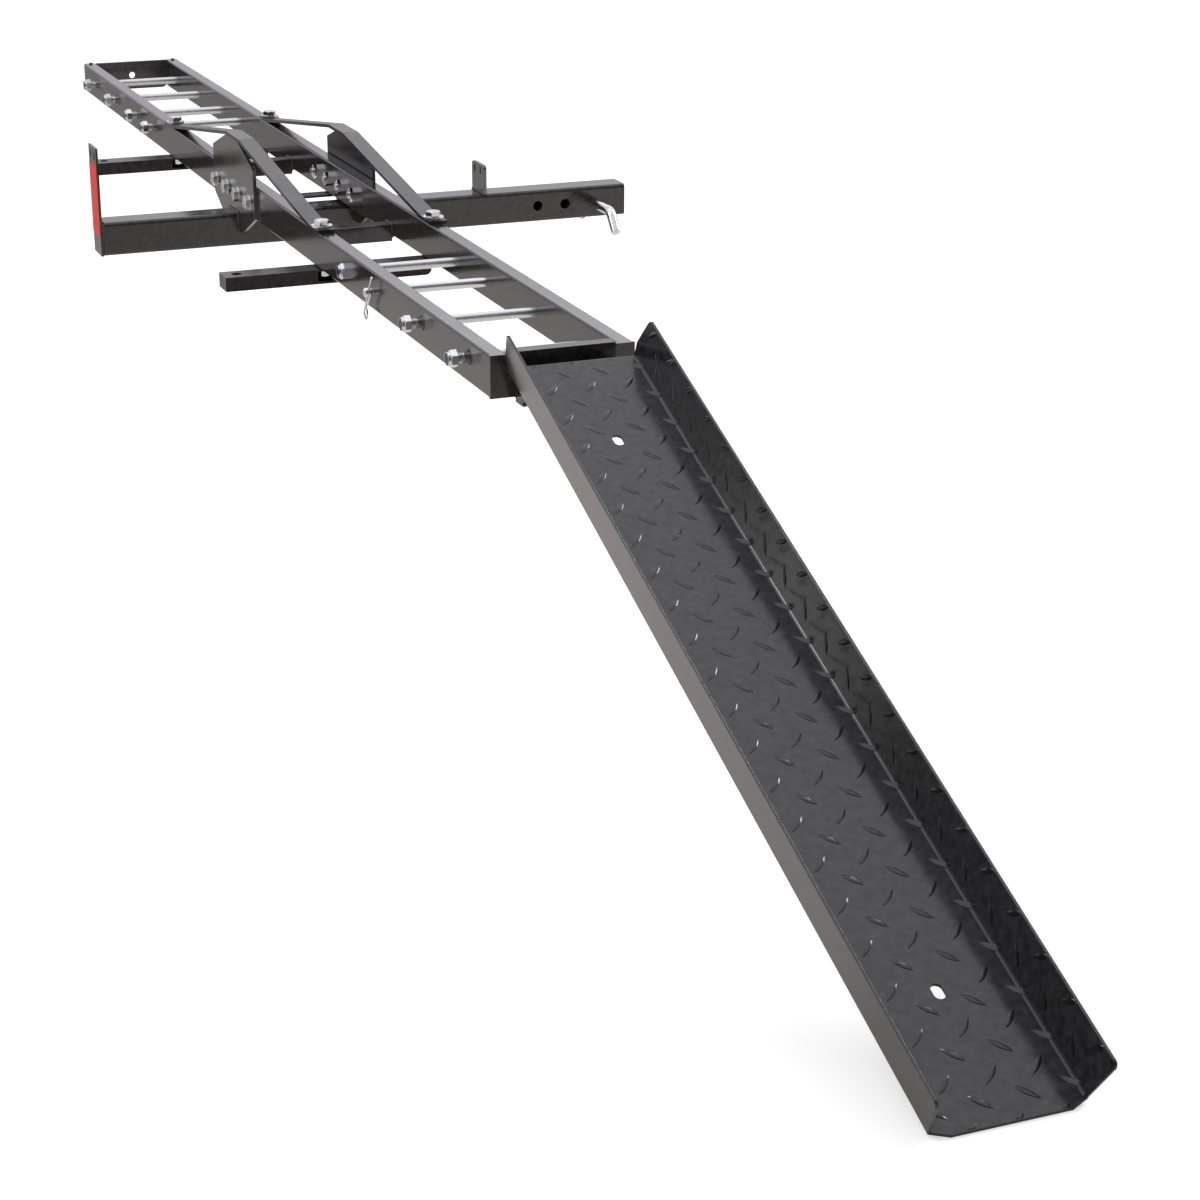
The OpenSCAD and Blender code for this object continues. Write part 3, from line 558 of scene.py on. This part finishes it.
def makeTread():
    lug = flatLug()
    bm = bmesh.new()
    for across0, down0, turn in tread["cell"]:
        for i in range(*tread["columns"]):
            for j in range(*tread["rows"]):
                across = across0 + i * tread["pitchAcross"]
                down = down0 + j * tread["pitchDown"]
                if lugFits(across, down):
                    addCopy(bm, lug, Matrix.Translation((across, down, -tread["sink"]))
                            @ Matrix.Rotation(math.radians(-turn), 4, "Z"))
    # trimmed at the sheet's four edges: where, which side goes, along which axis
    trim = tread["endTrim"]
    cuts = [(trim, -1, 1), (tread["rampLen"] - trim, 1, 1), (flangeRim, 1, 0), (-flangeRim, -1, 0)]
    for level, sign, axis in cuts:
        point, normal = Vector(), Vector()
        point[axis] = level
        normal[axis] = sign
        bmesh.ops.bisect_plane(bm, geom=bm.verts[:] + bm.edges[:] + bm.faces[:], plane_co=point,
                               plane_no=normal, clear_outer=True)
        bmesh.ops.holes_fill(bm, edges=[e for e in bm.edges if e.is_boundary])
    for vert in bm.verts:
        vert.co = foldOntoTray(vert.co)
    ontoSlope(bm)
    finishPiece("treadLugs", bm, lugCoat, "ramp")


# the rounded inside of the tray's two folds, in mm
folds = {"top": 4, "foot": 1119, "arcSteps": 8, "lift": 0.03, "bite": 0.6}


def makeFolds():
    bm = bmesh.new()
    steps = folds["arcSteps"]
    for side in (-1, 1):
        arc = [foldOntoTray((side * (foldStart + tread["foldRadius"] * foldBend * i / steps),
                             folds["top"], folds["lift"])) for i in range(steps + 1)]
        corner = Vector((side * (tread["halfFloor"] + folds["bite"]), -folds["top"],
                         tread["floorTop"] - folds["bite"]))
        face = bm.faces.new([bm.verts.new(p) for p in arc + [corner]])
        for edge in face.edges:
            edge.smooth = False
        grown = bmesh.ops.extrude_face_region(bm, geom=[face])["geom"]
        bmesh.ops.translate(bm, vec=(0, folds["top"] - folds["foot"], 0),
                            verts=[g for g in grown if isinstance(g, bmesh.types.BMVert)])
        bmesh.ops.holes_fill(bm, edges=[e for e in bm.edges if e.is_boundary])
    ontoSlope(bm)
    finishPiece("trayFolds", bm, lugCoat, "ramp")


makeTread()
makeFolds()
print("tread lugs and folds made")


# weld beads: overlapping drops along each joint
beads = {
    "step": 2.6,  # mm from drop to drop
    "seed": 7,
    "sizes": (0.88, 1.08),
    "flat": 0.9,
    # each line: radius in mm, then its points in metres
    "frameLines": [
        # upright plate on the bar's outer end, light bracket on the bar
        (2.4, [(-0.856, -0.0254, -0.022), (-0.856, -0.0254, 0.022)]),
        (2.4, [(-0.856, 0.0254, -0.022), (-0.856, 0.0254, 0.022)]),
        (2.6, [(-0.8545, -0.022, 0.0254), (-0.8545, 0.022, 0.0254)]),
        (2.2, [(-0.239, -0.026, 0.0258), (-0.239, 0.026, 0.0258)]),
        (2.2, [(-0.244, -0.026, 0.0258), (-0.244, 0.026, 0.0258)]),
    ],
    # these lie on both sides of the track, so their first number is the distance from its middle
    "framePairs": [
        # round the bar on the outer faces of the side plates
        (3.0, [(0.0965, -0.0258, -0.002), (0.0965, -0.0258, 0.0254),
               (0.0965, 0.0258, 0.0254), (0.0965, 0.0258, -0.002)]),
        # round the two cross braces
        (2.6, [(0.069, -0.2858, 0.0304), (0.069, -0.2858, 0.0474),
               (0.069, -0.2582, 0.0474), (0.069, -0.2582, 0.0304)]),
        (2.6, [(0.069, 0.2582, 0.0304), (0.069, 0.2582, 0.0474),
               (0.069, 0.2858, 0.0474), (0.069, 0.2858, 0.0304)]),
        # up the corners between the rails and the end plates
        (1.8, [(0.069, -1.157, 0.034), (0.069, -1.157, 0.079)]),
        (1.8, [(0.069, 1.157, 0.044), (0.069, 1.157, 0.079)]),
        # under the rails, along the tie bar's two edges
        (1.6, [(0.072, 0.036, 0.0298), (0.089, 0.036, 0.0298)]),
        (1.6, [(0.072, 0.066, 0.0298), (0.089, 0.066, 0.0298)]),
    ],
    # on both sides of each gusset behind the ramp's hook
    "rampPairs": [
        (1.5, [(0.056, -1.1645, 0.031), (0.056, -1.1645, 0.056)]),
        (1.5, [(0.06, -1.1645, 0.031), (0.06, -1.1645, 0.056)]),
    ],
}


def oneDrop():
    bm = bmesh.new()
    bmesh.ops.create_uvsphere(bm, u_segments=8, v_segments=6, radius=1)
    bmesh.ops.scale(bm, vec=(1, 1, beads["flat"]), verts=bm.verts)
    mesh = bpy.data.meshes.new("oneDrop")
    bm.to_mesh(mesh)
    bm.free()
    return mesh


def beadLine(bm, drop, radius, points, dice):
    for start, end in zip(points, points[1:]):
        a, b = Vector(start), Vector(end)
        count = max(2, round((b - a).length / (beads["step"] * mm)))
        along = (b - a).to_track_quat("X", "Z").to_matrix().to_4x4()
        for i in range(count + 1):
            size = Matrix.Scale(radius * mm * dice.uniform(*beads["sizes"]), 4)
            addCopy(bm, drop, Matrix.Translation(a.lerp(b, i / count)) @ along @ size)


def makeWelds(name, body, seed, lines, pairs):
    dice = random.Random(seed)
    drop = oneDrop()
    bm = bmesh.new()
    for radius, points in lines:
        beadLine(bm, drop, radius, points, dice)
    for side in (-1, 1):
        for radius, points in pairs:
            beadLine(bm, drop, radius, [(trackX + side * x, y, z) for x, y, z in points], dice)
    finishPiece(name, bm, weldCoat, body)


makeWelds("frameWelds", "carrier", beads["seed"], beads["frameLines"], beads["framePairs"])
makeWelds("rampWelds", "ramp", beads["seed"] + 1, [], beads["rampPairs"])
print("weld beads made")


# rolled threads where a shank shows between rail and nut, and past the plate nuts
threads = {
    # mm: shank radius, pitch, size of the ridge, where it starts and ends along the shank
    "rung": {"radius": 6.35, "pitch": 1.95, "ridge": 0.75, "from": 91.2, "to": 99.2},
    "plate": {"radius": 6.0, "pitch": 1.75, "ridge": 0.7, "from": 1.0, "to": 1.9},
    "stepsPerTurn": 18, "leastSteps": 6,
    "rungRows": [-1.065, -0.887, 0.584, 0.711, 0.887, 1.065],
    "plateRows": [-1.5, -0.5, 0.5, 1.5], "platePitch": 0.066,
    "plateReach": 0.059,  # from the track's middle to the inner faces of the plate nuts
}


def threadAt(bm, shape, start, axis):
    # one triangular ridge wound along the shank
    axis = Vector(axis)
    length = shape["to"] - shape["from"]
    turns = length / shape["pitch"]
    turned = axis.to_track_quat("Z", "Y").to_matrix().to_4x4()
    place = Matrix.Translation(Vector(start) + axis * shape["from"] * mm) @ turned
    ridge = place @ Matrix.Translation((shape["radius"] * mm, 0, 0)) @ Matrix.Rotation(math.pi / 2, 4, "X")
    made = bmesh.ops.create_circle(bm, segments=3, radius=shape["ridge"] * mm, matrix=ridge)
    edges = list({e for v in made["verts"] for e in v.link_edges})
    steps = max(threads["leastSteps"], round(turns * threads["stepsPerTurn"]))
    bmesh.ops.spin(bm, geom=made["verts"] + edges, cent=start, axis=axis, angle=2 * math.pi * turns,
                   dvec=axis * length * mm / steps, steps=steps, use_duplicate=False)


def boltThreads():
    bm = bmesh.new()
    for y in threads["rungRows"]:
        threadAt(bm, threads["rung"], (trackX, y, railMid), (-1, 0, 0))
    for side in (-1, 1):
        for row in threads["plateRows"]:
            start = (trackX + side * threads["plateReach"], row * threads["platePitch"], railMid)
            threadAt(bm, threads["plate"], start, (-side, 0, 0))
    bmesh.ops.holes_fill(bm, edges=[e for e in bm.edges if e.is_boundary], sides=3)
    finishPiece("boltThreads", bm, boltZinc, "carrier")


boltThreads()
print("threads made")
